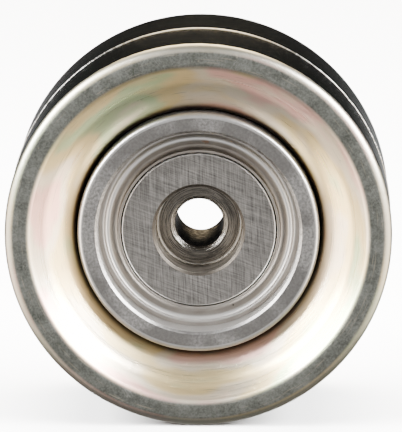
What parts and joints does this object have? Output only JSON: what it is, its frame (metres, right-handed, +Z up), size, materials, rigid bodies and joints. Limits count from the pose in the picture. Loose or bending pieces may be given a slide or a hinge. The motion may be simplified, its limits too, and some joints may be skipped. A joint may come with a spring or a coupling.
{
  "type": "belt tensioner idler",
  "caption": "Flat belt idler: pulley of two welded stamped shells turning on a shielded double-row ball bearing with a recessed centre bushing for a bolt.",
  "frame": {"origin": "centre of the pulley, on its axis and midway between its two rims", "axes": "+Y along the axis, from the front (bushing deep in the bore) to the rear; +Z up; the first ball of each row lies on +X"},
  "size_m": [0.0752, 0.0436, 0.0752],
  "materials": {
    "plated_steel": "yellow chromated zinc over steel sheet, half gloss, with faint colour play",
    "weld_steel": "bare weld bead, bright",
    "satin_steel": "tumbled bearing steel, satin, bright chamfers",
    "ground_steel": "ground bearing steel with a cross-hatched face",
    "machined_steel": "turned steel, slightly brown, bright edges",
    "pressed_steel": "smooth pressed sheet steel",
    "cage_steel": "pressed cage strip",
    "rivet_steel": "closed rivets",
    "ball_steel": "polished bearing balls"
  },
  "bodies": {
    "hub": {"inner_ring": "ground_steel", "center_bushing": "machined_steel"},
    "pulley": {"front_shell": "plated_steel", "rear_shell": "plated_steel", "seam_weld": "weld_steel", "outer_ring": "satin_steel", "front_shield": "pressed_steel", "rear_shield": "pressed_steel"},
    "front_cage": {"front_cage_outer_half": "cage_steel", "front_cage_inner_half": "cage_steel", "front_cage_rivets": "rivet_steel"},
    "front_ball_1": {"front_ball_1": "ball_steel"},
    "front_ball_2": {"front_ball_2": "ball_steel"},
    "front_ball_3": {"front_ball_3": "ball_steel"},
    "front_ball_4": {"front_ball_4": "ball_steel"},
    "front_ball_5": {"front_ball_5": "ball_steel"},
    "front_ball_6": {"front_ball_6": "ball_steel"},
    "front_ball_7": {"front_ball_7": "ball_steel"},
    "front_ball_8": {"front_ball_8": "ball_steel"},
    "rear_cage": {"rear_cage_outer_half": "cage_steel", "rear_cage_inner_half": "cage_steel", "rear_cage_rivets": "rivet_steel"},
    "rear_ball_1": {"rear_ball_1": "ball_steel"},
    "rear_ball_2": {"rear_ball_2": "ball_steel"},
    "rear_ball_3": {"rear_ball_3": "ball_steel"},
    "rear_ball_4": {"rear_ball_4": "ball_steel"},
    "rear_ball_5": {"rear_ball_5": "ball_steel"},
    "rear_ball_6": {"rear_ball_6": "ball_steel"},
    "rear_ball_7": {"rear_ball_7": "ball_steel"},
    "rear_ball_8": {"rear_ball_8": "ball_steel"}
  },
  "joints": [
    {"name": "pulley_spin", "type": "hinge", "parent": "hub", "child": "pulley", "pos_m": [0, 0, 0], "axis": [0, 1, 0], "continuous": true},
    {"name": "front_cage_spin", "type": "hinge", "parent": "hub", "child": "front_cage", "pos_m": [0, 0, 0], "axis": [0, 1, 0], "continuous": true},
    {"name": "front_ball_1_spin", "type": "hinge", "parent": "front_cage", "child": "front_ball_1", "pos_m": [0.0165, -0.0068, 0], "axis": [0, 1, 0], "continuous": true},
    {"name": "front_ball_2_spin", "type": "hinge", "parent": "front_cage", "child": "front_ball_2", "pos_m": [0.01167, -0.0068, 0.01167], "axis": [0, 1, 0], "continuous": true},
    {"name": "front_ball_3_spin", "type": "hinge", "parent": "front_cage", "child": "front_ball_3", "pos_m": [0, -0.0068, 0.0165], "axis": [0, 1, 0], "continuous": true},
    {"name": "front_ball_4_spin", "type": "hinge", "parent": "front_cage", "child": "front_ball_4", "pos_m": [-0.01167, -0.0068, 0.01167], "axis": [0, 1, 0], "continuous": true},
    {"name": "front_ball_5_spin", "type": "hinge", "parent": "front_cage", "child": "front_ball_5", "pos_m": [-0.0165, -0.0068, 0], "axis": [0, 1, 0], "continuous": true},
    {"name": "front_ball_6_spin", "type": "hinge", "parent": "front_cage", "child": "front_ball_6", "pos_m": [-0.01167, -0.0068, -0.01167], "axis": [0, 1, 0], "continuous": true},
    {"name": "front_ball_7_spin", "type": "hinge", "parent": "front_cage", "child": "front_ball_7", "pos_m": [0, -0.0068, -0.0165], "axis": [0, 1, 0], "continuous": true},
    {"name": "front_ball_8_spin", "type": "hinge", "parent": "front_cage", "child": "front_ball_8", "pos_m": [0.01167, -0.0068, -0.01167], "axis": [0, 1, 0], "continuous": true},
    {"name": "rear_cage_spin", "type": "hinge", "parent": "hub", "child": "rear_cage", "pos_m": [0, 0, 0], "axis": [0, 1, 0], "continuous": true},
    {"name": "rear_ball_1_spin", "type": "hinge", "parent": "rear_cage", "child": "rear_ball_1", "pos_m": [0.0165, 0.0068, 0], "axis": [0, 1, 0], "continuous": true},
    {"name": "rear_ball_2_spin", "type": "hinge", "parent": "rear_cage", "child": "rear_ball_2", "pos_m": [0.01167, 0.0068, 0.01167], "axis": [0, 1, 0], "continuous": true},
    {"name": "rear_ball_3_spin", "type": "hinge", "parent": "rear_cage", "child": "rear_ball_3", "pos_m": [0, 0.0068, 0.0165], "axis": [0, 1, 0], "continuous": true},
    {"name": "rear_ball_4_spin", "type": "hinge", "parent": "rear_cage", "child": "rear_ball_4", "pos_m": [-0.01167, 0.0068, 0.01167], "axis": [0, 1, 0], "continuous": true},
    {"name": "rear_ball_5_spin", "type": "hinge", "parent": "rear_cage", "child": "rear_ball_5", "pos_m": [-0.0165, 0.0068, 0], "axis": [0, 1, 0], "continuous": true},
    {"name": "rear_ball_6_spin", "type": "hinge", "parent": "rear_cage", "child": "rear_ball_6", "pos_m": [-0.01167, 0.0068, -0.01167], "axis": [0, 1, 0], "continuous": true},
    {"name": "rear_ball_7_spin", "type": "hinge", "parent": "rear_cage", "child": "rear_ball_7", "pos_m": [0, 0.0068, -0.0165], "axis": [0, 1, 0], "continuous": true},
    {"name": "rear_ball_8_spin", "type": "hinge", "parent": "rear_cage", "child": "rear_ball_8", "pos_m": [0.01167, 0.0068, -0.01167], "axis": [0, 1, 0], "continuous": true}
  ],
  "couplings": [
    {"joint": "front_cage_spin", "follows": "pulley_spin", "ratio": 0.6203},
    {"joint": "front_ball_1_spin", "follows": "pulley_spin", "ratio": 1.9584},
    {"joint": "front_ball_2_spin", "follows": "pulley_spin", "ratio": 1.9584},
    {"joint": "front_ball_3_spin", "follows": "pulley_spin", "ratio": 1.9584},
    {"joint": "front_ball_4_spin", "follows": "pulley_spin", "ratio": 1.9584},
    {"joint": "front_ball_5_spin", "follows": "pulley_spin", "ratio": 1.9584},
    {"joint": "front_ball_6_spin", "follows": "pulley_spin", "ratio": 1.9584},
    {"joint": "front_ball_7_spin", "follows": "pulley_spin", "ratio": 1.9584},
    {"joint": "front_ball_8_spin", "follows": "pulley_spin", "ratio": 1.9584},
    {"joint": "rear_cage_spin", "follows": "pulley_spin", "ratio": 0.6203},
    {"joint": "rear_ball_1_spin", "follows": "pulley_spin", "ratio": 1.9584},
    {"joint": "rear_ball_2_spin", "follows": "pulley_spin", "ratio": 1.9584},
    {"joint": "rear_ball_3_spin", "follows": "pulley_spin", "ratio": 1.9584},
    {"joint": "rear_ball_4_spin", "follows": "pulley_spin", "ratio": 1.9584},
    {"joint": "rear_ball_5_spin", "follows": "pulley_spin", "ratio": 1.9584},
    {"joint": "rear_ball_6_spin", "follows": "pulley_spin", "ratio": 1.9584},
    {"joint": "rear_ball_7_spin", "follows": "pulley_spin", "ratio": 1.9584},
    {"joint": "rear_ball_8_spin", "follows": "pulley_spin", "ratio": 1.9584}
  ]
}
